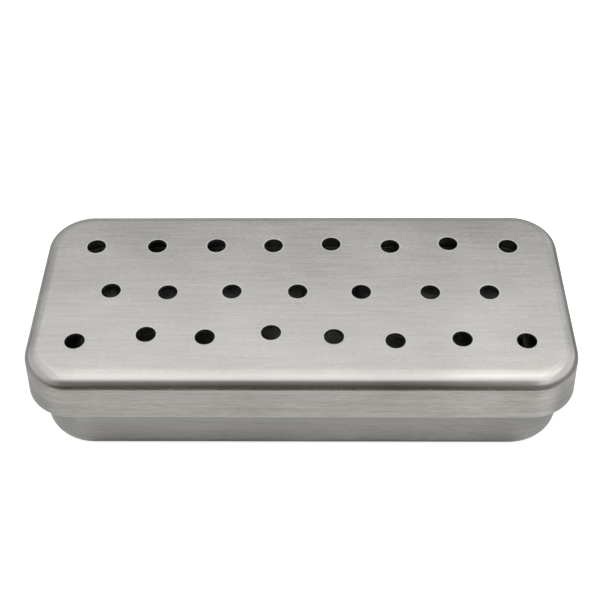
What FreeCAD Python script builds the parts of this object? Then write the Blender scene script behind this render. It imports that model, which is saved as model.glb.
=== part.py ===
import FreeCAD, Part
import math
import os
import re

import Sketcher
from FreeCAD import Placement, Rotation, Vector

# Gutta-percha holder: a small deep-drawn steel box with a perforated lift-off lid.
# A drawn inner tray stands in the base, and seven folded dividers part it into eight compartments.
# Millimetres and degrees. The origin is under the middle of the base, +X runs along the box, +Y to
# its back and +Z up.

SIZES = {
    # The closed box, measured over the lid's open edge
    "overall_length": 92.5,
    "overall_width": 41.0,
    "overall_height": 20.0,
    # Lid and base are drawn from the same sheet
    "shell_sheet": 0.5,
    "lid_depth": 9.0,
    "lid_corner_radius": 8.3,
    "lid_bend_radius": 2.45,
    "lid_draft": 3.7,
    "base_bend_radius": 3.2,
    "base_corner_relief": 2.2,
    "base_draft": 2.0,
    # Running room between lid and base: beside the base's rim, and above it in the lid's bend
    "lid_side_clearance": 0.15,
    "lid_seat_clearance": 0.1,
    # Vent holes in the lid: rows of eight, seven and eight
    "vent_diameter": 3.2,
    "back_row_end_margin": 9.5,
    "back_row_margin": 9.3,
    "middle_row_end_margin": 13.5,
    "front_row_end_margin": 9.0,
    "front_row_margin": 9.6,
    # Inner tray
    "tray_sheet": 0.4,
    "tray_depth": 12.5,
    "tray_side_clearance": 0.4,
    # Dividers: a web across the tray, with a foot folded along its bottom edge
    "divider_sheet": 0.4,
    "divider_end_margin": 14.9,
    "divider_drop": 1.0,
    "divider_side_clearance": 0.15,
    "divider_top_radius": 1.5,
    "foot_length": 24.0,
    "foot_width": 4.0,
    "foot_bend_radius": 0.5,
    "relief_width": 1.0,
    "relief_height": 0.6,
}

DIVIDER_COUNT = 7

# The vents were marked out by hand: how far each one strays from its even place, along X and Y
VENT_ROWS = {
    "back_row": {
        "end_margin": "back_row_end_margin",
        "level": "overall_width / 2 - back_row_margin",
        "strays_x": [0.0, 0.4, 0.5, 0.2, 0.0, 0.0, -0.1, 0.0],
        "strays_y": [-0.2, -0.1, 0.0, 0.0, 0.4, -0.2, 0.5, -0.2],
    },
    "middle_row": {
        "end_margin": "middle_row_end_margin",
        "level": "0",
        "strays_x": [0.0, -1.1, -1.0, -0.6, -0.6, 0.3, -0.5],
        "strays_y": [0.0, -0.4, -0.2, -0.2, -0.3, -0.4, -0.4],
    },
    "front_row": {
        "end_margin": "front_row_end_margin",
        "level": "front_row_margin - overall_width / 2",
        "strays_x": [-0.1, 0.9, 0.1, 0.4, 0.2, -0.3, 0.1, 0.0],
        "strays_y": [-0.7, 0.8, 0.2, 1.2, 0.3, -0.6, -0.2, -0.6],
    },
}

# Levels above the table
LID_RIM_LEVEL = "(overall_height - lid_depth)"
LID_INSIDE_BEND = "(lid_bend_radius - shell_sheet)"
BASE_RIM_LEVEL = (
    f"(overall_height - lid_bend_radius - lid_seat_clearance"
    f" + sqrt(pow({LID_INSIDE_BEND}; 2) - pow({LID_INSIDE_BEND} - lid_side_clearance; 2)))"
)
TRAY_RIM_LEVEL = "(shell_sheet + tray_depth)"
TRAY_FLOOR_LEVEL = "(shell_sheet + tray_sheet)"
DIVIDER_TOP_LEVEL = f"({TRAY_RIM_LEVEL} - divider_drop)"

# How far a drafted wall leans in, per side, between two levels
LID_LEAN = f"(({BASE_RIM_LEVEL} - {LID_RIM_LEVEL}) * tan(lid_draft))"
BASE_LEAN = f"(({BASE_RIM_LEVEL} - {TRAY_RIM_LEVEL}) * tan(base_draft))"
DIVIDER_LEAN = "(divider_drop * tan(base_draft))"
WEB_LEAN = f"(({TRAY_RIM_LEVEL} - {TRAY_FLOOR_LEVEL}) * tan(base_draft))"

# How far each shell stands in from the one around it, per side, at its own rim
BASE_INSET = f"({LID_LEAN} + shell_sheet + lid_side_clearance)"
TRAY_INSET = f"({BASE_INSET} + {BASE_LEAN} + shell_sheet + tray_side_clearance)"
BASE_CORNER_RADIUS = f"(lid_corner_radius - {BASE_INSET} + base_corner_relief)"
TRAY_CORNER_RADIUS = f"({BASE_CORNER_RADIUS} - {BASE_LEAN} - shell_sheet - tray_side_clearance)"


def formula(text):
    """The text with each size's name pointing at its cell of the sheet."""
    return re.sub(r"[a-z_]+", lambda m: "Sizes." + m.group() if m.group() in SIZES else m.group(), text)


def bind(thing, **properties):
    """Ties each property of a feature to a formula of the sheet's sizes."""
    for name, text in properties.items():
        thing.setExpression(name, formula(text))


def add_sizes(doc):
    sheet = doc.addObject("Spreadsheet::Sheet", "Sizes")
    for row, (name, value) in enumerate(SIZES.items(), start=1):
        sheet.set(f"A{row}", str(value))
        sheet.setAlias(f"A{row}", name)
    doc.recompute()
    return sheet


def add_body(doc, label):
    body = doc.addObject("PartDesign::Body", label)
    body.Label = label
    return body


def add_sketch(body, name, plane, level="0"):
    """A sketch on one of the body's own origin planes, raised off it by a formula."""
    sketch = body.newObject("Sketcher::SketchObject", f"{body.Name}_{name}")
    origin_plane = next(f for f in body.Origin.OriginFeatures if f.Role == plane)
    sketch.AttachmentSupport = [(origin_plane, "")]
    sketch.MapMode = "FlatFace"
    sketch.setExpression("AttachmentOffset.Base.z", formula(f"({level}) * 1 mm"))
    return sketch


def add_datum(sketch, name, kind, *where, size):
    """A dimension of a sketch, tied to a formula."""
    sketch.addConstraint(Sketcher.Constraint(kind, *where))
    index = len(sketch.Constraints) - 1
    sketch.renameConstraint(index, name)
    sketch.setExpression(f"Constraints.{name}", formula(f"({size}) * 1 mm"))


def rounded_rectangle(sketch, length, width, radius):
    """Four sides and four corner arcs about the origin, going round anticlockwise."""
    half_x, half_y, corner = 20.0, 10.0, 3.0
    corners = [(half_x, -half_y), (half_x, half_y), (-half_x, half_y), (-half_x, -half_y)]
    sides, arcs = [], []
    for turn, (x, y) in enumerate(corners):
        centre = Vector(x - math.copysign(corner, x), y - math.copysign(corner, y), 0)
        start = (turn - 1) * math.pi / 2
        circle = Part.Circle(centre, Vector(0, 0, 1), corner)
        arcs.append(sketch.addGeometry(Part.ArcOfCircle(circle, start, start + math.pi / 2)))
    for turn in range(4):
        here = sketch.getPoint(arcs[turn], 2)
        there = sketch.getPoint(arcs[(turn + 1) % 4], 1)
        sides.append(sketch.addGeometry(Part.LineSegment(here, there)))
    for turn in range(4):
        following = (turn + 1) % 4
        sketch.addConstraint(Sketcher.Constraint("Tangent", arcs[turn], 2, sides[turn], 1))
        sketch.addConstraint(Sketcher.Constraint("Tangent", sides[turn], 2, arcs[following], 1))
        direction = "Vertical" if turn % 2 == 0 else "Horizontal"
        sketch.addConstraint(Sketcher.Constraint(direction, sides[turn]))
    for turn in range(3):
        sketch.addConstraint(Sketcher.Constraint("Equal", arcs[turn], arcs[turn + 1]))
    right, top, left, bottom = sides
    sketch.addConstraint(Sketcher.Constraint("Symmetric", arcs[0], 3, arcs[2], 3, -1, 1))
    add_datum(sketch, "outline_length", "DistanceX", left, 1, right, 1, 40.0, size=length)
    add_datum(sketch, "outline_width", "DistanceY", bottom, 1, top, 1, 20.0, size=width)
    add_datum(sketch, "outline_corner", "Radius", arcs[0], 3.0, size=radius)


def edges_at(feature, level):
    """Names of the edges that lie wholly at one height."""
    found = []
    for index, edge in enumerate(feature.Shape.Edges, start=1):
        box = edge.BoundBox
        if abs(box.ZMin - level) < 1e-4 and abs(box.ZMax - level) < 1e-4:
            found.append(f"Edge{index}")
    return found


def drawn_shell(doc, label, rim_level, depth, opens_up, outline, bend_radius, draft, sheet):
    """A shell deep-drawn from sheet: drafted walls, a bend round its closed end, and one open end."""
    length, width, corner = outline
    body = add_body(doc, label)
    outside = add_sketch(body, "outside", "XY_Plane", rim_level)
    rounded_rectangle(outside, length, width, corner)
    blank = body.newObject("PartDesign::Pad", f"{label}_blank")
    blank.Profile = outside
    blank.Reversed = opens_up
    bind(blank, Length=depth, TaperAngle=f"-{draft}")

    inside = add_sketch(body, "inside", "XY_Plane", rim_level)
    rounded_rectangle(inside, f"{length} - 2 * {sheet}", f"{width} - 2 * {sheet}", f"{corner} - {sheet}")
    hollow = body.newObject("PartDesign::Pocket", f"{label}_hollow")
    hollow.Profile = inside
    hollow.Reversed = not opens_up
    bind(hollow, Length=f"{depth} - {sheet}", TaperAngle=f"-{draft}")
    doc.recompute()

    rim = outside.AttachmentOffset.Base.z
    away = -1 if opens_up else 1
    inner_bend = body.newObject("PartDesign::Fillet", f"{label}_inner_bend")
    inner_bend.Base = (hollow, edges_at(hollow, rim + away * hollow.Length.Value))
    bind(inner_bend, Radius=f"{bend_radius} - {sheet}")
    doc.recompute()
    outer_bend = body.newObject("PartDesign::Fillet", f"{label}_outer_bend")
    outer_bend.Base = (inner_bend, edges_at(inner_bend, rim + away * blank.Length.Value))
    bind(outer_bend, Radius=bend_radius)
    body.Tip = outer_bend
    doc.recompute()
    return body


def make_base_tray(doc):
    length = f"overall_length - 2 * {BASE_INSET}"
    width = f"overall_width - 2 * {BASE_INSET}"
    outline = (length, width, BASE_CORNER_RADIUS)
    return drawn_shell(
        doc, "base_tray", BASE_RIM_LEVEL, BASE_RIM_LEVEL, True,
        outline, "base_bend_radius", "base_draft", "shell_sheet",
    )


def make_inner_tray(doc):
    length = f"overall_length - 2 * {TRAY_INSET}"
    width = f"overall_width - 2 * {TRAY_INSET}"
    outline = (length, width, TRAY_CORNER_RADIUS)
    return drawn_shell(
        doc, "inner_tray", TRAY_RIM_LEVEL, "tray_depth", True,
        outline, "base_bend_radius - shell_sheet", "base_draft", "tray_sheet",
    )


def make_lid(doc):
    outline = ("overall_length", "overall_width", "lid_corner_radius")
    body = drawn_shell(
        doc, "lid", LID_RIM_LEVEL, "lid_depth", False,
        outline, "lid_bend_radius", "lid_draft", "shell_sheet",
    )
    pierce_vents(doc, body)
    return body


def pierce_vents(doc, body):
    """The rows of round vents through the lid's top."""
    sketch = add_sketch(body, "vent_marks", "XY_Plane", "overall_height")
    first = None
    for row_name, row in VENT_ROWS.items():
        gaps = len(row["strays_x"]) - 1
        for place, (stray_x, stray_y) in enumerate(zip(row["strays_x"], row["strays_y"])):
            rough = Part.Circle(Vector(4.0 * place, 9.0, 0), Vector(0, 0, 1), 1.0)
            vent = sketch.addGeometry(rough)
            if first is None:
                first = vent
                add_datum(sketch, "vent_size", "Diameter", vent, 2.0, size="vent_diameter")
            else:
                sketch.addConstraint(Sketcher.Constraint("Equal", first, vent))
            name = f"{row_name}_{place + 1}"
            even_x = f"(overall_length - 2 * {row['end_margin']}) * {place - gaps / 2} / {gaps}"
            vent_x = f"{even_x} + {stray_x}"
            vent_y = f"{row['level']} + {stray_y}"
            add_datum(sketch, f"{name}_x", "DistanceX", -1, 1, vent, 3, 1.0, size=vent_x)
            add_datum(sketch, f"{name}_y", "DistanceY", -1, 1, vent, 3, 1.0, size=vent_y)
    vents = body.newObject("PartDesign::Pocket", "lid_vents")
    vents.Profile = sketch
    bind(vents, Length="lid_bend_radius")
    body.Tip = vents
    doc.recompute()


def outline_through(sketch, points):
    """A closed outline through points given as formulas."""
    count = len(points)
    turns = [2 * math.pi * index / count for index in range(count)]
    rough = [Vector(math.cos(turn), math.sin(turn), 0) for turn in turns]
    for index in range(count):
        sketch.addGeometry(Part.LineSegment(rough[index], rough[(index + 1) % count]))
    for index in range(count):
        sketch.addConstraint(Sketcher.Constraint("Coincident", index, 2, (index + 1) % count, 1))
    for index, (x, y) in enumerate(points):
        add_datum(sketch, f"point_{index}_x", "DistanceX", -1, 1, index, 1, 1.0, size=x)
        add_datum(sketch, f"point_{index}_y", "DistanceY", -1, 1, index, 1, 1.0, size=y)


def web_outline():
    """The divider's web seen along the box, with a relief notch each side of the folded foot."""
    inside = f"(overall_width / 2 - {TRAY_INSET} - tray_sheet - divider_side_clearance)"
    bottom_half = f"({inside} - {WEB_LEAN})"
    top_half = f"({inside} - {DIVIDER_LEAN})"
    foot_half = "(foot_length / 2)"
    notch_half = "(foot_length / 2 + relief_width)"
    bend_top = f"({TRAY_FLOOR_LEVEL} + foot_bend_radius + divider_sheet)"
    notch_top = f"({bend_top} + relief_height)"
    right = [
        (foot_half, bend_top),
        (foot_half, notch_top),
        (notch_half, notch_top),
        (notch_half, TRAY_FLOOR_LEVEL),
        (bottom_half, TRAY_FLOOR_LEVEL),
        (top_half, DIVIDER_TOP_LEVEL),
    ]
    left = [(f"-{x}", level) for x, level in reversed(right)]
    return right + left


def foot_profile(sketch):
    """The foot seen across the box: it bends out of the web and lies flat on the tray's floor."""
    face = "(divider_sheet / 2)"
    bend_x = "(divider_sheet / 2 + foot_bend_radius)"
    bend_level = f"({TRAY_FLOOR_LEVEL} + divider_sheet + foot_bend_radius)"
    inner_circle = Part.Circle(Vector(0.7, 1.8, 0), Vector(0, 0, 1), 0.5)
    outer_circle = Part.Circle(Vector(0.7, 1.8, 0), Vector(0, 0, 1), 0.9)
    outer = sketch.addGeometry(Part.ArcOfCircle(outer_circle, math.pi, 1.5 * math.pi))
    inner = sketch.addGeometry(Part.ArcOfCircle(inner_circle, math.pi, 1.5 * math.pi))
    under = sketch.addGeometry(Part.LineSegment(Vector(0.7, 0.9, 0), Vector(3.8, 0.9, 0)))
    tip = sketch.addGeometry(Part.LineSegment(Vector(3.8, 0.9, 0), Vector(3.8, 1.3, 0)))
    over = sketch.addGeometry(Part.LineSegment(Vector(3.8, 1.3, 0), Vector(0.7, 1.3, 0)))
    joint = sketch.addGeometry(Part.LineSegment(Vector(0.2, 1.8, 0), Vector(-0.2, 1.8, 0)))
    sketch.addConstraint(Sketcher.Constraint("Coincident", outer, 3, inner, 3))
    sketch.addConstraint(Sketcher.Constraint("Tangent", outer, 2, under, 1))
    sketch.addConstraint(Sketcher.Constraint("Coincident", under, 2, tip, 1))
    sketch.addConstraint(Sketcher.Constraint("Coincident", tip, 2, over, 1))
    sketch.addConstraint(Sketcher.Constraint("Tangent", over, 2, inner, 2))
    sketch.addConstraint(Sketcher.Constraint("Coincident", inner, 1, joint, 1))
    sketch.addConstraint(Sketcher.Constraint("Coincident", joint, 2, outer, 1))
    sketch.addConstraint(Sketcher.Constraint("Horizontal", under))
    sketch.addConstraint(Sketcher.Constraint("Vertical", tip))
    sketch.addConstraint(Sketcher.Constraint("Horizontal", over))
    sketch.addConstraint(Sketcher.Constraint("Horizontal", joint))
    add_datum(sketch, "bend_x", "DistanceX", -1, 1, outer, 3, 0.7, size=bend_x)
    add_datum(sketch, "bend_level", "DistanceY", -1, 1, outer, 3, 1.8, size=bend_level)
    add_datum(sketch, "inside_bend", "Radius", inner, 0.5, size="foot_bend_radius")
    add_datum(sketch, "outside_bend", "Radius", outer, 0.9, size="foot_bend_radius + divider_sheet")
    add_datum(sketch, "foot_reach", "DistanceX", -1, 1, under, 2, 3.8, size=f"foot_width - {face}")
    sketch.addConstraint(Sketcher.Constraint("Horizontal", joint, 1, outer, 3))


def make_divider(doc, number):
    """One divider, folded from flat sheet; its foot is spot-welded to the inner tray's floor."""
    body = add_body(doc, f"divider_{number}")
    web_sketch = add_sketch(body, "web_outline", "YZ_Plane")
    outline_through(web_sketch, web_outline())
    web = body.newObject("PartDesign::Pad", f"{body.Name}_web")
    web.Profile = web_sketch
    web.SideType = "Symmetric"
    bind(web, Length="divider_sheet")

    foot_sketch = add_sketch(body, "foot_profile", "XZ_Plane")
    foot_profile(foot_sketch)
    foot = body.newObject("PartDesign::Pad", f"{body.Name}_foot")
    foot.Profile = foot_sketch
    foot.SideType = "Symmetric"
    bind(foot, Length="foot_length")
    doc.recompute()

    round_corners(doc, body, foot)
    share = (2 * number - DIVIDER_COUNT - 1) / (DIVIDER_COUNT - 1)
    along = f"(overall_length / 2 - divider_end_margin) * {share} * 1 mm"
    body.setExpression("Placement.Base.x", formula(along))
    return body


def upright_edges(feature, side_reach, level):
    """Names of the short edges across the sheet at the outer ends of the web, at one height."""
    found = []
    for index, edge in enumerate(feature.Shape.Edges, start=1):
        box = edge.BoundBox
        at_end = min(abs(box.YMin), abs(box.YMax)) > side_reach
        if at_end and abs(box.ZMax - level) < 1e-4 and box.ZLength < 1e-4 and box.YLength < 1e-4:
            found.append(f"Edge{index}")
    return found


def round_corners(doc, body, feature):
    """The web's lower corners follow the tray's bend, and its upper ones are eased."""
    box = feature.Shape.BoundBox
    beyond_foot = box.YMax - SIZES["foot_bend_radius"] - SIZES["divider_drop"]
    lower = body.newObject("PartDesign::Fillet", f"{body.Name}_lower_corners")
    lower.Base = (feature, upright_edges(feature, beyond_foot, box.ZMin))
    bind(lower, Radius="base_bend_radius - shell_sheet - tray_sheet")
    doc.recompute()
    upper = body.newObject("PartDesign::Fillet", f"{body.Name}_upper_corners")
    upper.Base = (lower, upright_edges(lower, beyond_foot, box.ZMax))
    bind(upper, Radius="divider_top_radius")
    body.Tip = upper
    doc.recompute()


def check(doc, bodies):
    """Stops before anything is written if a feature failed or a piece isn't one sound solid."""
    for thing in doc.Objects:
        if "Invalid" in thing.State or "Error" in thing.State:
            raise RuntimeError(f"{thing.Name} failed: {thing.State}")
    for body in bodies:
        shape = body.Shape
        if shape.isNull() or not shape.isValid() or len(shape.Solids) != 1:
            raise RuntimeError(f"{body.Label} isn't one sound solid")


def main():
    doc = FreeCAD.newDocument("gutta_percha_holder")
    add_sizes(doc)
    bodies = [make_base_tray(doc), make_inner_tray(doc)]
    for number in range(1, DIVIDER_COUNT + 1):
        bodies.append(make_divider(doc, number))
    bodies.append(make_lid(doc))
    doc.recompute()
    check(doc, bodies)
    os.makedirs("parts", exist_ok=True)
    for body in bodies:
        body.Shape.exportStep(f"parts/{body.Label}.step")
        box = body.Shape.BoundBox
        print(
            f"{body.Label}: {box.XLength:.2f} x {box.YLength:.2f} x {box.ZLength:.2f},"
            f" from z {box.ZMin:.2f}, {body.Shape.Volume:.0f} mm3"
        )


main()
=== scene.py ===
import math

import bmesh
import bpy
from mathutils import Matrix, Vector
from mathutils.geometry import delaunay_2d_cdt


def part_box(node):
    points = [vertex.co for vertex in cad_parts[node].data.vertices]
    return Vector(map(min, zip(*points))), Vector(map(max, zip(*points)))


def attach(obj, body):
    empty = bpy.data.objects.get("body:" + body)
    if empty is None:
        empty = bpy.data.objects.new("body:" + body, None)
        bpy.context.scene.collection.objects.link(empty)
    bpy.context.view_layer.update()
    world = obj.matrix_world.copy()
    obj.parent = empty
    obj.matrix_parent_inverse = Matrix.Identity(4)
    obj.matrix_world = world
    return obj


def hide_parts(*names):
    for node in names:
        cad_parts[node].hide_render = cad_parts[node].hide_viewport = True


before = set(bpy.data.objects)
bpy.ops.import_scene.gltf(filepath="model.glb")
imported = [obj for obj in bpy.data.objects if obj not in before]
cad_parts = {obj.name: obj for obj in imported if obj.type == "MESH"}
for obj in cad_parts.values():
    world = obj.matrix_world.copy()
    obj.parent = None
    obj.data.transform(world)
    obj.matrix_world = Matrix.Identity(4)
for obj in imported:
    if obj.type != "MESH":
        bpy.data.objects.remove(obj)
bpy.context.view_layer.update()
scene = bpy.context.scene

# Gutta-percha holder: a drawn lid and base, an inner tray, seven dividers and their spot welds

# Camera, solved from the photograph's outline and vents
CAMERA_PLACE = (0.002655, -0.134317, 0.158293)
CAMERA_PITCH = 0.81017
CAMERA_YAW = -0.01891
CAMERA_ROLL = -0.01383
FOCAL_PIXELS = 1121.54
IMAGE_PIXELS = 604
SENSOR_MM = 36.0
CLIP_NEAR = 0.005
CLIP_FAR = 20.0

# Shells in millimetres, as the solids have them, each with the seed of its ripple
MM = 0.001
LENGTH = 92.5
WIDTH = 41.0
LID = {
    "closed": 20.0, "rim": 11.0, "inset": 0.0, "corner": 8.3,
    "bend": 2.45, "draft": 3.7, "sheet": 0.5, "seed": 9,
}
BASE = {
    "closed": 0.0, "rim": 18.2, "inset": 1.1156, "corner": 9.3844,
    "bend": 3.2, "draft": 2.0, "sheet": 0.5, "seed": 15,
}
TRAY = {
    "closed": 0.5, "rim": 13.0, "inset": 2.1972, "corner": 8.3028,
    "bend": 2.7, "draft": 2.0, "sheet": 0.4, "seed": 16,
}

# Vents: each row's level and end margin, and how far each vent strays from its even place
VENT_RADIUS = 1.6
VENT_ROWS = (
    {
        "level": 11.2,
        "end_margin": 9.5,
        "strays_x": (0.0, 0.4, 0.5, 0.2, 0.0, 0.0, -0.1, 0.0),
        "strays_y": (-0.2, -0.1, 0.0, 0.0, 0.4, -0.2, 0.5, -0.2),
    },
    {
        "level": 0.0,
        "end_margin": 13.5,
        "strays_x": (0.0, -1.1, -1.0, -0.6, -0.6, 0.3, -0.5),
        "strays_y": (0.0, -0.4, -0.2, -0.2, -0.3, -0.4, -0.4),
    },
    {
        "level": -10.9,
        "end_margin": 9.0,
        "strays_x": (-0.1, 0.9, 0.1, 0.4, 0.2, -0.3, 0.1, 0.0),
        "strays_y": (-0.7, 0.8, 0.2, 1.2, 0.3, -0.6, -0.2, -0.6),
    },
)

# Roundings of the sheet's edges, and the border round each flat
RIM_ROUND = 0.11
VENT_ROUND = 0.09
VENT_ROLL = 0.05
FLAT_BORDER = 0.35

# Ripple of the sheet: its depth, how far above the rim it is full, and how it shifts on the walls
FLAT_RIPPLE = 0.03
WALL_RIPPLE = 0.02
RIM_FADE = 2.0
WALL_SEED = 3
WALL_SLANT_X = 0.6
WALL_SLANT_Y = -0.4

# Steps of the swept meshes
LONG_SIDE_STEPS = 60
SHORT_SIDE_STEPS = 20
CORNER_STEPS = 22
OUTER_BEND_STEPS = 20
INNER_BEND_STEPS = 12
WALL_STEPS = 12
EDGE_STEPS = 4
VENT_STEPS = 40
WELD_STEPS = 28

# Points strewn over the flats: pitch, a row's share of it, and room kept from borders and vents
FILL_PITCH = 1.5
FILL_ROW = 0.87
FILL_COLUMNS = 40
FILL_ROWS = 20
FILL_MARGIN = 0.8
FILL_CORNER = 5.0
FILL_VENT_ROOM = 0.5
MERGE_DISTANCE = 1e-5
HOLE_SLACK = 0.02

# Spot welds on the dividers' feet: place on the foot, and the mark's radii and heights
DIVIDER_COUNT = 7
DIVIDER_SHEET = 0.4
WELD_REACH = 2.25
WELD_SPACING = 16.0
WELD_SECTION = (
    (1.08, -0.02),
    (1.0, 0.03),
    (0.9, 0.045),
    (0.78, 0.02),
    (0.55, 0.008),
    (0.25, 0.004),
)

# Where a steel is flat, a wall, the front or a long side, by one part of its normal
FLAT_LEAN = (0.90, 0.995)
WALL_LEAN = (0.30, 0.16)
FRONT_LEAN = (-0.80, -0.98)
LONG_SIDE_LEAN = (0.80, 0.98)
CREASE_BLUR = 0.00003

# Grain: noise scales per metre along X, Y and Z
TOP_FINE = (1100, 5200, 1100)
WALL_FINE = (460, 460, 5200)
TOP_COARSE = (110, 1800, 110)
WALL_COARSE = (75, 75, 1600)
CLOUD = (60, 90, 90)
WAVE = (70, 110, 110)
FINE_SHARE = 0.6
COARSE_SHARE = 0.4
FINE_NOISE = {"detail": 3.0, "roughness": 0.65}
COARSE_NOISE = {"detail": 3.0, "roughness": 0.6}
CLOUD_DETAIL = 3.0
WAVE_DETAIL = 1.0

# Shades of a steel's colour, and the painted highlight line along each rim and the painted shade
# fading out above it
SHADE_SPAN = (0.3, 0.7)
DARK_SHADE = 0.76
LIGHT_SHADE = 1.2
FLAT_SHADE_REACH = 0.6
FLAT_SHADE_LOW = 0.2
BEND_SHADE = 0.6
MOTTLE = (0.3, 0.7, 0.94, 1.06)
RIM_PAINTED_HIGHLIGHT = (0.00008, 0.00022, 1.3, 1.0)
RIM_PAINTED_SHADE = (0.0003, 0.0060)

# How much the grain changes the roughness, and how deep the relief is in metres
GRAIN_SPAN = (0.25, 0.75)
WALL_GRAIN = 0.07
FLAT_GRAIN = 0.045
BEND_GRAIN = 0.04
CLOUD_GRAIN = (0.3, 0.7, -0.02, 0.02)
BEND_RELIEF = 0.3
GRAIN_STRENGTH = 0.2
GRAIN_DEPTH = 0.00002
WAVE_DEPTH = 0.00003
ANISOTROPY = 0.85
GRAIN_TURN = 0.25

# Steels: colour, roughness of flats, walls and bends, and the levels of rim and crease in metres;
# some colours and gains are painted light and shade
STEELS = {
    # The lid: a painted highlight line along its rim, painted shade above it and painted light on its
    # long walls
    "lid_steel": {
        "colour": (0.74, 0.726, 0.690), "roughness": (0.25, 0.55, 0.19),
        "rim": 0.011, "painted_rim_shade": 0.86, "crease": 0.01750, "long_wall_painted_light": 1.30,
    },
    # The base is the lid's steel darkened: painted shade
    "base_steel": {
        "colour": (0.51, 0.503, 0.477), "roughness": (0.36, 0.42, 0.20), "rim": 0.0182,
    },
    # The insert is darker still: painted shade for the inside of the closed box
    "insert_steel": {"colour": (0.45, 0.444, 0.427), "roughness": (0.42, 0.45, 0.42)},
    # A lighter ring round each vent: painted highlight
    "vent_ring_painted_highlight": {"colour": (0.82, 0.805, 0.765), "roughness": (0.37, 0.5, 0.25)},
    # Near black on each vent's edge and bore: painted shade
    "vent_bore_painted_shade": {"colour": (0.05, 0.049, 0.046), "roughness": (0.6, 0.6, 0.6)},
    "weld_steel": {"colour": (0.46, 0.42, 0.36), "roughness": (0.5, 0.5, 0.4)},
}
# Lid slots: the painted highlight ring round each vent and the painted shade in each vent
VENT_RING_HIGHLIGHT_SLOT = 1
VENT_BORE_SHADE_SLOT = 2

# Floor: the paper as the camera sees it, and as the steel mirrors it in the middle and on the right
FLOOR_REACH = 3.0
WHITE = (1.0, 1.0, 1.0, 1.0)
PAPER = (0.82, 0.82, 0.82, 1.0)
PAPER_MIRRORED = (0.40, 0.40, 0.39, 1.0)
PAPER_ON_RIGHT = (0.27, 0.27, 0.265, 1.0)
PAPER_TURNS = (0.042, 0.060)
CAMERA_GLOW = 0.75
MIRROR_GLOW = 0.05

# The bright strip of paper before the box, by metres before, beside and to the right of its middle
STRIP_BEFORE = (0.0255, 0.0295)
STRIP_BESIDE = (0.062, 0.040)
STRIP_ON_RIGHT = (0.050, 0.028, 0.35, 1.0)
STRIP_GLOW = 2.65

# The paler paper beside the box's ends, in the same measures
ENDS_FROM = (0.034, 0.042)
ENDS_TO = (0.068, 0.056)
ENDS_BEFORE = (0.0275, 0.0225)
ENDS_ON_RIGHT = (0.058, 0.047)
ENDS_GLOW = 0.34

# The dark tabletop past the paper, in the same measures
TABLE_BEFORE = (0.0307, 0.0320)
TABLE_BESIDE = (0.11, 0.06)
TABLE_ON_RIGHT = (0.056, 0.030, 0.55, 1.0)
TABLE_COLOUR = (0.070, 0.059, 0.044, 1.0)

# Room: its brightness by how far a direction points up, to the front, to the back and aside
ROOM_UP = (0.35, 0.85, 0.66, 0.30)
ROOM_FRONT = (-1.02, -0.5)
ROOM_FRONT_GLOW = (0.08, 0.30, 0.20, 0.80)
ROOM_BACK = (0.85, 0.3, 0.55, 1.0)
ROOM_RIGHT = (0.2, 0.5, 1.0, 1.28)
ROOM_SIDES = (0.75, 0.5, 0.85, 1.0)

# Lamps: width and depth of each overhead panel, and the small one on the right
PANELS = ((0.22, 0.335), (0.38, 0.365), (0.54, 0.400))
PANEL_BACK = 0.15
PANEL_LEVEL = 0.170
PANEL_STEP = 0.001
PANEL_GLOW = 0.233
RIGHT_PLACE = (0.120, -0.04, 0.168)
RIGHT_SIZE = (0.15, 0.12)
RIGHT_GLOW = 0.26


def make_camera():
    forward = Vector((
        math.sin(CAMERA_YAW) * math.cos(CAMERA_PITCH),
        math.cos(CAMERA_YAW) * math.cos(CAMERA_PITCH),
        -math.sin(CAMERA_PITCH),
    ))
    level = Vector((math.cos(CAMERA_YAW), -math.sin(CAMERA_YAW), 0.0))
    above = level.cross(forward)
    right = math.cos(CAMERA_ROLL) * level + math.sin(CAMERA_ROLL) * above
    up = -math.sin(CAMERA_ROLL) * level + math.cos(CAMERA_ROLL) * above
    data = bpy.data.cameras.new("camera")
    data.sensor_width = SENSOR_MM
    data.lens = FOCAL_PIXELS * SENSOR_MM / IMAGE_PIXELS
    data.clip_start = CLIP_NEAR
    data.clip_end = CLIP_FAR
    camera = bpy.data.objects.new("camera", data)
    turn = Matrix((right, up, -forward)).transposed().to_4x4()
    camera.matrix_world = Matrix.Translation(CAMERA_PLACE) @ turn
    scene.collection.objects.link(camera)
    scene.camera = camera


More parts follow.
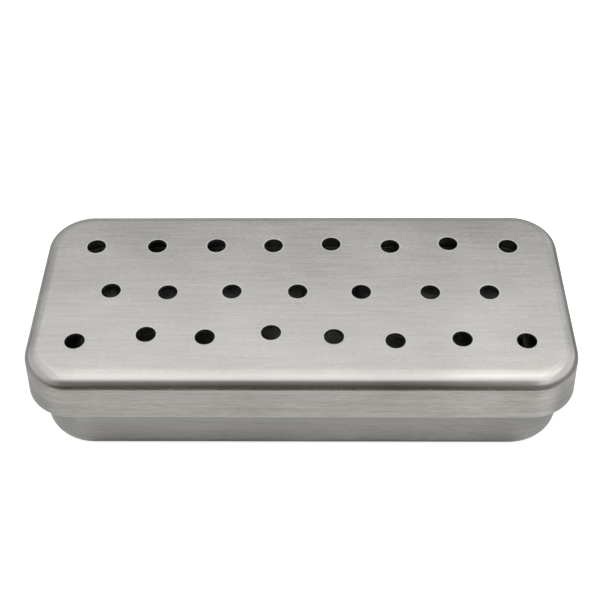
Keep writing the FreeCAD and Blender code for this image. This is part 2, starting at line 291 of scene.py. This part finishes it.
class Graph:
    """Builds a node tree with short calls."""

    def __init__(self, tree):
        self.tree = tree
        tree.nodes.clear()

    def add(self, kind, inputs=None, **settings):
        node = self.tree.nodes.new(kind)
        for name, value in settings.items():
            setattr(node, name, value)
        for key, value in (inputs or {}).items():
            self.feed(node.inputs[key], value)
        return node

    def feed(self, socket, value):
        if isinstance(value, bpy.types.NodeSocket):
            self.tree.links.new(value, socket)
        else:
            socket.default_value = value

    def math(self, operation, a, b=0.0, clamp=False):
        node = self.add("ShaderNodeMath", {0: a, 1: b}, operation=operation, use_clamp=clamp)
        return node.outputs[0]

    def times(self, *values):
        product = values[0]
        for value in values[1:]:
            product = self.math("MULTIPLY", product, value)
        return product

    def plus(self, *values):
        total = values[0]
        for value in values[1:]:
            total = self.math("ADD", total, value)
        return total

    def split(self, vector):
        return self.add("ShaderNodeSeparateXYZ", {0: vector}).outputs

    def spread(self, value, low, high, to_low=0.0, to_high=1.0, smooth=True):
        kind = "SMOOTHSTEP" if smooth else "LINEAR"
        inputs = {
            "Value": value,
            "From Min": low,
            "From Max": high,
            "To Min": to_low,
            "To Max": to_high,
        }
        return self.add("ShaderNodeMapRange", inputs, interpolation_type=kind).outputs[0]

    def noise(self, place, scale, detail=2.0, roughness=0.5):
        stretched = self.add("ShaderNodeMapping", {"Vector": place, "Scale": scale}).outputs[0]
        inputs = {"Vector": stretched, "Scale": 1.0, "Detail": detail, "Roughness": roughness}
        return self.add("ShaderNodeTexNoise", inputs).outputs["Fac"]

    def mix(self, share, a, b):
        node = self.add("ShaderNodeMix", data_type="FLOAT")
        for index, value in ((0, share), (2, a), (3, b)):
            self.feed(node.inputs[index], value)
        return node.outputs[0]

    def mix_colour(self, share, a, b, blend="MIX"):
        node = self.add("ShaderNodeMix", data_type="RGBA", blend_type=blend)
        for index, value in ((0, share), (6, a), (7, b)):
            self.feed(node.inputs[index], value)
        return node.outputs[2]


def vent_centres():
    centres = []
    for row in VENT_ROWS:
        strays = list(zip(row["strays_x"], row["strays_y"]))
        first = row["end_margin"] - LENGTH / 2
        step = (LENGTH - 2 * row["end_margin"]) / (len(strays) - 1)
        for place, (stray_x, stray_y) in enumerate(strays):
            centres.append((first + step * place + stray_x, row["level"] + stray_y))
    return centres


def outline_anchors(shell):
    """Anchors on the rectangle of corner centres, each with the direction that its wall faces."""
    reach_x = LENGTH / 2 - shell["inset"] - shell["corner"]
    reach_y = WIDTH / 2 - shell["inset"] - shell["corner"]
    corners = (
        (reach_x, -reach_y),
        (reach_x, reach_y),
        (-reach_x, reach_y),
        (-reach_x, -reach_y),
    )
    anchors = []
    for side, start in enumerate(corners):
        end = corners[(side + 1) % len(corners)]
        facing = 90 * side
        steps = LONG_SIDE_STEPS if side % 2 else SHORT_SIDE_STEPS
        for k in range(steps):
            spot = tuple(a + (b - a) * (k / steps) for a, b in zip(start, end))
            anchors.append((spot, math.radians(facing)))
        for k in range(CORNER_STEPS):
            anchors.append((end, math.radians(facing + 90 * k / CORNER_STEPS)))
    return [(spot, (math.cos(turn), math.sin(turn))) for spot, turn in anchors]


def section(shell):
    """The shell's cut profile, as (distance in from the rim's outline, height from the rim)."""
    depth = abs(shell["closed"] - shell["rim"])
    draft = math.radians(shell["draft"])
    lean = math.tan(draft)
    sheet = shell["sheet"]
    centre = depth - shell["bend"]

    def bend(radius, start, steps):
        middle = start + centre * lean + radius / math.cos(draft)
        turns = [draft + (math.pi / 2 - draft) * k / steps for k in range(steps + 1)]
        return [(middle - radius * math.cos(t), centre + radius * math.sin(t)) for t in turns]

    def edge(middle, start):
        middle += RIM_ROUND * lean
        points = []
        for k in range(EDGE_STEPS + 1):
            turn = math.radians(start + 90 * k / EDGE_STEPS)
            inward = middle + RIM_ROUND * math.cos(turn)
            points.append((inward, RIM_ROUND + RIM_ROUND * math.sin(turn)))
        return points

    outer = bend(shell["bend"], 0.0, OUTER_BEND_STEPS)
    inner = bend(shell["bend"] - sheet, sheet, INNER_BEND_STEPS)
    levels = [centre * (1 - (k / WALL_STEPS) ** 2) for k in range(1, WALL_STEPS)][::-1]
    outer_wall = [(level * lean, level) for level in levels]
    inner_wall = [(sheet + level * lean, level) for level in levels]
    rim = edge(RIM_ROUND, 180) + edge(sheet - RIM_ROUND, 270)
    border_out = [(outer[-1][0] + FLAT_BORDER, depth)]
    border_in = [(inner[-1][0] + FLAT_BORDER, depth - sheet)]
    return border_out + outer[::-1] + outer_wall[::-1] + rim + inner_wall + inner + border_in


def vent_section(shell):
    """A vent's wall from the top down: rounded edge, bore and the punch's small roll below."""
    below = -shell["sheet"]
    border = VENT_RADIUS + FLAT_BORDER
    rounding = []
    for k in range(EDGE_STEPS + 1):
        turn = math.pi / 2 * k / EDGE_STEPS
        radius = VENT_RADIUS + VENT_ROUND * (1 - math.sin(turn))
        rounding.append((radius, -VENT_ROUND * (1 - math.cos(turn))))
    roll = [(VENT_RADIUS, below + VENT_ROLL), (VENT_RADIUS + VENT_ROLL, below)]
    return [(border, 0.0)] + rounding + roll + [(border, below)]


def ripple(x, y, seed):
    """Slow hand-finished unevenness, from 0 to 1: crossing waves some 30, 11 and 6 mm long."""
    total = (
        math.sin(0.21 * x + 0.9 * seed) * math.cos(0.27 * y + 1.7 * seed)
        + 0.6 * math.sin(0.43 * x - 0.35 * y + 2.3 * seed)
        + 0.4 * math.cos(0.83 * x + 0.5 * y + 0.7 * seed)
    )
    return 0.5 + total / 4.0


def circle(mesh, centre, level, radius, steps):
    verts = []
    for k in range(steps):
        turn = 2 * math.pi * k / steps
        x = centre[0] + radius * math.cos(turn)
        y = centre[1] + radius * math.sin(turn)
        verts.append(mesh.verts.new((x, y, level)))
    return verts


def bridge(mesh, rings):
    """Joins each closed ring to the next one, and gives the faces of each band."""
    bands = []
    for upper, lower in zip(rings, rings[1:]):
        band = []
        for k in range(len(upper)):
            after = (k + 1) % len(upper)
            band.append(mesh.faces.new((upper[k], upper[after], lower[after], lower[k])))
        bands.append(band)
    return bands


def sweep_walls(mesh, shell, towards):
    """Sweeps the section round the outline, and gives the rings round the two flat faces."""
    anchors = outline_anchors(shell)
    seed = shell["seed"] + WALL_SEED
    rings = []
    for inward, height in section(shell):
        radius = shell["corner"] - inward
        z = shell["rim"] + towards * height
        sway = WALL_RIPPLE * min(1.0, height / RIM_FADE, abs(z - shell["closed"]) / shell["bend"])
        ring = []
        for (ax, ay), (nx, ny) in anchors:
            out = radius - sway * ripple(ax + WALL_SLANT_X * z, ay + WALL_SLANT_Y * z, seed)
            ring.append(mesh.verts.new((ax + out * nx, ay + out * ny, z)))
        rings.append(ring)
    bridge(mesh, rings)
    return rings[0], rings[-1]


def pierce_vents(mesh, shell, centres):
    """Makes the wall of each vent, and gives its rings on the two flat faces."""
    outside, inside = [], []
    for centre in centres:
        rings = []
        for radius, drop in vent_section(shell):
            rings.append(circle(mesh, centre, shell["closed"] + drop, radius, VENT_STEPS))
        for number, band in enumerate(bridge(mesh, rings)):
            for face in band:
                # Painted highlight on the flat ring round the vent, painted shade on its edge, bore
                # and roll
                face.material_index = VENT_BORE_SHADE_SLOT if number else VENT_RING_HIGHLIGHT_SLOT
        outside.append(rings[0])
        inside.append(rings[-1])
    return outside, inside


def middle_of(spots):
    return sum(spots, Vector((0, 0))) / len(spots)


def well_inside(spot, reach_x, reach_y):
    """Whether a spot keeps the margin from the flat's border with its rounded corners."""
    inner_x = reach_x - FILL_MARGIN
    inner_y = reach_y - FILL_MARGIN
    past_x = max(0, abs(spot.x) - inner_x + FILL_CORNER)
    past_y = max(0, abs(spot.y) - inner_y + FILL_CORNER)
    off_corner = Vector((past_x, past_y)).length < FILL_CORNER
    return abs(spot.x) < inner_x and abs(spot.y) < inner_y and off_corner


def fill_flat(mesh, border, holes, level):
    """Covers a flat face inside its border and around its holes with small triangles."""
    spots, edges, owners = [], [], []
    for loop in [border] + holes:
        start = len(spots)
        for k, vert in enumerate(loop):
            spots.append(Vector((vert.co.x, vert.co.y)))
            owners.append(vert)
            edges.append((start + k, start + (k + 1) % len(loop)))
    reach_x = max(p.x for p in spots[:len(border)])
    reach_y = max(p.y for p in spots[:len(border)])
    centres = [middle_of([Vector((v.co.x, v.co.y)) for v in loop]) for loop in holes]
    clear = VENT_RADIUS + FLAT_BORDER + FILL_VENT_ROOM
    for i in range(-FILL_COLUMNS, FILL_COLUMNS + 1):
        for j in range(-FILL_ROWS, FILL_ROWS + 1):
            spot = Vector((FILL_PITCH * (i + 0.5 * (j % 2)), FILL_PITCH * FILL_ROW * j))
            off_vents = all((spot - centre).length > clear for centre in centres)
            if off_vents and well_inside(spot, reach_x, reach_y):
                spots.append(spot)
                owners.append(mesh.verts.new((spot.x, spot.y, level)))
    placed, _, faces, origins, _, _ = delaunay_2d_cdt(spots, edges, [], 1, MERGE_DISTANCE)
    own = [owners[origin[0]] for origin in origins]
    hole_radius = VENT_RADIUS + FLAT_BORDER - HOLE_SLACK
    for face in faces:
        middle = middle_of([placed[k] for k in face])
        in_hole = any((middle - centre).length < hole_radius for centre in centres)
        if not in_hole:
            mesh.faces.new([own[k] for k in face])


def settle_flats(mesh, shell, towards):
    """Sinks the flat faces and the bend a little, unevenly, as thin drawn sheet does."""
    for vert in mesh.verts:
        near_flat = max(0.0, 1.0 - abs(vert.co.z - shell["closed"]) / shell["bend"])
        sunk = ripple(vert.co.x, vert.co.y, shell["seed"])
        vert.co.z -= towards * FLAT_RIPPLE * min(1.0, near_flat) * sunk


def make_piece(name, mesh, materials):
    data = bpy.data.meshes.new(name)
    mesh.to_mesh(data)
    mesh.free()
    data.polygons.foreach_set("use_smooth", [True] * len(data.polygons))
    for material in materials:
        data.materials.append(material)
    piece = bpy.data.objects.new(name, data)
    scene.collection.objects.link(piece)
    return piece


def make_shell(name, shell, materials, vents=()):
    """A drawn shell as one closed mesh: swept walls, flat closed end and vents."""
    towards = 1 if shell["closed"] > shell["rim"] else -1
    mesh = bmesh.new()
    outer_border, inner_border = sweep_walls(mesh, shell, towards)
    outside, inside = pierce_vents(mesh, shell, vents)
    fill_flat(mesh, outer_border, outside, shell["closed"])
    fill_flat(mesh, inner_border, inside, shell["closed"] - towards * shell["sheet"])
    settle_flats(mesh, shell, towards)
    bmesh.ops.recalc_face_normals(mesh, faces=mesh.faces)
    bmesh.ops.scale(mesh, vec=(MM, MM, MM), verts=mesh.verts)
    return make_piece(name, mesh, materials)


def make_welds(material):
    """A shallow electrode crater with a squeezed-up lip at each spot weld of the dividers' feet."""
    mesh = bmesh.new()
    for number in range(1, DIVIDER_COUNT + 1):
        low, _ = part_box(f"divider_{number}")
        weld_x = low[0] + DIVIDER_SHEET * MM / 2 + WELD_REACH * MM
        foot_top = low[2] + DIVIDER_SHEET * MM
        for side in (-1, 1):
            centre = (weld_x, side * WELD_SPACING * MM / 2)
            rings = []
            for radius, rise in WELD_SECTION:
                rings.append(circle(mesh, centre, foot_top + rise * MM, radius * MM, WELD_STEPS))
            bridge(mesh, rings)
            mesh.faces.new(rings[-1])
            mesh.faces.new(rings[0][::-1])
    bmesh.ops.recalc_face_normals(mesh, faces=mesh.faces)
    return make_piece("spot_welds", mesh, [material])


def steel_parts(g, normal, height, crease):
    """How much a point lies on a flat, on a wall and on a bend."""
    level = g.math("ABSOLUTE", normal[2])
    flat = g.spread(level, *FLAT_LEAN)
    wall = g.spread(level, *WALL_LEAN)
    if crease is not None:
        front = g.spread(normal[1], *FRONT_LEAN)
        below = g.spread(height, crease + CREASE_BLUR, crease - CREASE_BLUR)
        wall = g.mix(front, wall, below)
    bend = g.math("SUBTRACT", 1.0, g.math("MAXIMUM", flat, wall), clamp=True)
    return flat, wall, bend


def steel_streaks(g, place, flat):
    """Long fine streaks, level on the walls and lengthwise on top."""
    top_fine = g.noise(place, TOP_FINE, **FINE_NOISE)
    wall_fine = g.noise(place, WALL_FINE, **FINE_NOISE)
    fine = g.mix(flat, wall_fine, top_fine)
    top_coarse = g.noise(place, TOP_COARSE, **COARSE_NOISE)
    wall_coarse = g.noise(place, WALL_COARSE, **COARSE_NOISE)
    coarse = g.mix(flat, wall_coarse, top_coarse)
    return g.plus(g.times(fine, FINE_SHARE), g.times(coarse, COARSE_SHARE))


def steel_tint(g, colour, streak, flat, bend, gain):
    """The steel's colour, darker and lighter with the streaks, times its gain, which carries painted
    light and shade.
    """
    dark = tuple(c * DARK_SHADE for c in colour) + (1.0,)
    light = tuple(min(1.0, c * LIGHT_SHADE) for c in colour) + (1.0,)
    shade = g.spread(streak, *SHADE_SPAN, smooth=False)
    calmer = g.plus(g.times(shade, FLAT_SHADE_REACH), FLAT_SHADE_LOW)
    shade = g.mix(flat, shade, calmer)
    tint = g.mix_colour(g.mix(bend, shade, BEND_SHADE), dark, light)
    grey = g.add("ShaderNodeCombineColor", {0: gain, 1: gain, 2: gain}).outputs[0]
    return g.mix_colour(1.0, tint, grey, "MULTIPLY")


def steel_gain(g, normal, height, cloud, wall, rim, painted_rim_shade, long_wall_painted_light):
    """Slow cloudiness, a painted highlight line along the rim with painted shade fading out above it,
    and painted light on the long walls.
    """
    gain = g.spread(cloud, *MOTTLE, smooth=False)
    if rim is not None:
        off_rim = g.math("ABSOLUTE", g.math("SUBTRACT", height, rim))
        # Painted highlight: a lighter line along the rim; painted shade: darker for some 6 mm above
        # it
        gain = g.times(gain, g.spread(off_rim, *RIM_PAINTED_HIGHLIGHT))
        gain = g.times(gain, g.spread(off_rim, *RIM_PAINTED_SHADE, painted_rim_shade, 1.0))
    # Painted light: the long walls are made lighter by their gain
    long_side = g.spread(g.math("ABSOLUTE", normal[1]), *LONG_SIDE_LEAN)
    return g.times(gain, g.mix(g.times(wall, long_side), 1.0, long_wall_painted_light))


def steel_roughness(g, roughness, streak, cloud, flat, bend):
    """The roughness of flats, walls and bends, each stirred by the streaks."""
    on_flat, on_wall, on_bend = roughness
    depth = g.mix(flat, WALL_GRAIN, FLAT_GRAIN)
    stirred = g.times(g.spread(streak, *GRAIN_SPAN, -1.0, 1.0, smooth=False), depth)
    brushed = g.plus(g.mix(flat, on_wall, on_flat), stirred)
    bend_reach = (on_bend - BEND_GRAIN, on_bend + BEND_GRAIN)
    smoother = g.spread(streak, *GRAIN_SPAN, *bend_reach, smooth=False)
    rough = g.mix(bend, brushed, smoother)
    return g.plus(rough, g.spread(cloud, *CLOUD_GRAIN, smooth=False))


def steel_relief(g, place, streak, bend):
    """The grain's fine furrows over the sheet's slow waves."""
    furrows = g.times(streak, g.mix(bend, 1.0, BEND_RELIEF))
    inputs = {"Height": furrows, "Strength": GRAIN_STRENGTH, "Distance": GRAIN_DEPTH}
    fine = g.add("ShaderNodeBump", inputs).outputs[0]
    wave = g.noise(place, WAVE, detail=WAVE_DETAIL)
    inputs = {"Height": wave, "Strength": 1.0, "Distance": WAVE_DEPTH, "Normal": fine}
    return g.add("ShaderNodeBump", inputs).outputs[0]


def steel_tangent(g, normal):
    """The way the grain runs: along the box on top, and level round the walls."""
    nx, ny, nz = normal
    side = g.math("SUBTRACT", g.times(g.math("GREATER_THAN", ny, 0.0), 2.0), 1.0)
    along_x = g.plus(ny, g.times(g.times(nz, nz), side))
    return g.add("ShaderNodeCombineXYZ", {0: along_x, 1: g.times(nx, -1.0), 2: 0.0}).outputs[0]


def make_steel(name, colour, roughness, rim=None, painted_rim_shade=1.0, crease=None, long_wall_painted_light=1.0):
    """Stainless sheet brushed along the box on top and round its walls, smoother on its bends."""
    material = bpy.data.materials.new(name)
    material.use_nodes = True
    g = Graph(material.node_tree)
    coords = g.add("ShaderNodeTexCoord")
    place = coords.outputs["Object"]
    normal = g.split(coords.outputs["Normal"])
    height = g.split(place)[2]
    flat, wall, bend = steel_parts(g, normal, height, crease)
    streak = steel_streaks(g, place, flat)
    cloud = g.noise(place, CLOUD, detail=CLOUD_DETAIL)
    gain = steel_gain(g, normal, height, cloud, wall, rim, painted_rim_shade, long_wall_painted_light)

    shader = g.add("ShaderNodeBsdfPrincipled", {
        "Base Color": steel_tint(g, colour, streak, flat, bend, gain),
        "Roughness": steel_roughness(g, roughness, streak, cloud, flat, bend),
        "Normal": steel_relief(g, place, streak, bend),
        "Tangent": steel_tangent(g, normal),
        "Metallic": 1.0,
        "Anisotropic": ANISOTROPY,
        "Anisotropic Rotation": GRAIN_TURN,
    })
    g.add("ShaderNodeOutputMaterial", {"Surface": shader.outputs[0]})
    return material


def make_floor_paper():
    """White paper to the camera. The steel mirrors a bright strip, pale ends and a dark tabletop."""
    material = bpy.data.materials.new("floor_paper")
    material.use_nodes = True
    g = Graph(material.node_tree)
    path = g.add("ShaderNodeLightPath").outputs
    x, y, _ = g.split(g.add("ShaderNodeTexCoord").outputs["Object"])
    aside = g.math("ABSOLUTE", x)
    before = g.times(y, -1.0)

    mirrored_tone = g.mix_colour(g.spread(x, *PAPER_TURNS), PAPER_MIRRORED, PAPER_ON_RIGHT)
    tone = g.mix_colour(path["Is Glossy Ray"], PAPER, mirrored_tone)
    paper = g.add("ShaderNodeBsdfDiffuse", {"Color": tone})

    past = g.spread(before, *TABLE_BEFORE)
    strip = g.times(g.spread(before, *STRIP_BEFORE), g.math("SUBTRACT", 1.0, past))
    strip = g.times(strip, g.spread(aside, *STRIP_BESIDE), g.spread(x, *STRIP_ON_RIGHT))
    ends = g.times(g.spread(aside, *ENDS_FROM), g.spread(aside, *ENDS_TO))
    ends = g.times(ends, g.spread(before, *ENDS_BEFORE), g.spread(x, *ENDS_ON_RIGHT))
    card = g.plus(MIRROR_GLOW, g.times(strip, STRIP_GLOW), g.times(ends, ENDS_GLOW))
    mirrored = g.math("MAXIMUM", path["Is Glossy Ray"], path["Is Transmission Ray"])
    glow = g.plus(g.times(path["Is Camera Ray"], CAMERA_GLOW), g.times(mirrored, card))
    lift = g.add("ShaderNodeEmission", {"Color": WHITE, "Strength": glow})
    both = g.add("ShaderNodeAddShader", {0: paper.outputs[0], 1: lift.outputs[0]})

    past = g.times(past, g.spread(aside, *TABLE_BESIDE), g.spread(x, *TABLE_ON_RIGHT))
    tabletop = g.add("ShaderNodeEmission", {"Color": TABLE_COLOUR, "Strength": 1.0})
    share = g.times(past, path["Is Glossy Ray"])
    shown = g.add("ShaderNodeMixShader", {0: share, 1: both.outputs[0], 2: tabletop.outputs[0]})
    g.add("ShaderNodeOutputMaterial", {"Surface": shown.outputs[0]})
    return material


def make_floor():
    mesh = bpy.data.meshes.new("floor")
    corners = [(FLOOR_REACH * x, FLOOR_REACH * y, 0) for x, y in ((-1, -1), (1, -1), (1, 1), (-1, 1))]
    mesh.from_pydata(corners, [], [(0, 1, 2, 3)])
    mesh.materials.append(make_floor_paper())
    floor = bpy.data.objects.new("floor", mesh)
    scene.collection.objects.link(floor)


def make_world():
    """White to the camera, and a soft uneven room to everything else."""
    world = bpy.data.worlds.new("studio")
    scene.world = world
    world.use_nodes = True
    g = Graph(world.node_tree)
    x, y, z = g.split(g.add("ShaderNodeTexCoord").outputs["Generated"])
    height = g.spread(z, *ROOM_UP)
    front = g.spread(y, *ROOM_FRONT, g.spread(x, *ROOM_FRONT_GLOW), 1.0)
    back = g.spread(y, *ROOM_BACK)
    sides = g.times(g.spread(x, *ROOM_RIGHT), g.spread(g.math("ABSOLUTE", x), *ROOM_SIDES))
    room = g.times(g.times(height, sides), g.times(front, back))
    path = g.add("ShaderNodeLightPath").outputs
    glow = g.mix(path["Is Camera Ray"], room, 1.0)
    sky = g.add("ShaderNodeBackground", {"Color": WHITE, "Strength": glow})
    g.add("ShaderNodeOutputWorld", {"Surface": sky.outputs[0]})


def make_lamp(name, place, width, depth, glow):
    """A level panel that shines down, as bright to look at as glow says."""
    data = bpy.data.lights.new(name, "AREA")
    data.shape = "RECTANGLE"
    data.size = width
    data.size_y = depth
    data.energy = glow * math.pi * width * depth
    lamp = bpy.data.objects.new(name, data)
    lamp.location = place
    scene.collection.objects.link(lamp)


def make_lamps():
    """Three panels, each larger and higher than the last, so that their edges mirror softly."""
    for layer, (width, depth) in enumerate(PANELS):
        place = (0.0, PANEL_BACK - depth / 2, PANEL_LEVEL + PANEL_STEP * layer)
        make_lamp(f"overhead_{layer + 1}", place, width, depth, PANEL_GLOW)
    make_lamp("right", RIGHT_PLACE, *RIGHT_SIZE, RIGHT_GLOW)


scene.view_settings.view_transform = "Standard"
make_camera()
make_world()
make_floor()
make_lamps()

# Steel on every piece: the drawn shells, the dividers and their welds
steels = {name: make_steel(name, **look) for name, look in STEELS.items()}
# The lid's steels: its own, the painted highlight round each vent and the painted shade in each vent
lid_steels = [steels[name] for name in ("lid_steel", "vent_ring_painted_highlight", "vent_bore_painted_shade")]
for node, body, slot, shell, materials, vents in (
    ("lid", "lid", "lid_steel", LID, lid_steels, vent_centres()),
    ("base_tray", "base", "base_steel", BASE, [steels["base_steel"]], ()),
    ("inner_tray", "insert", "insert_steel", TRAY, [steels["insert_steel"]], ()),
):
    piece = make_shell(f"{node}_sheet", shell, materials, vents)
    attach(piece, body)
    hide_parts(node)
for number in range(1, DIVIDER_COUNT + 1):
    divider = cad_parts[f"divider_{number}"].data
    divider.materials.clear()
    divider.materials.append(steels["insert_steel"])
welds = make_welds(steels["weld_steel"])
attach(welds, "insert")
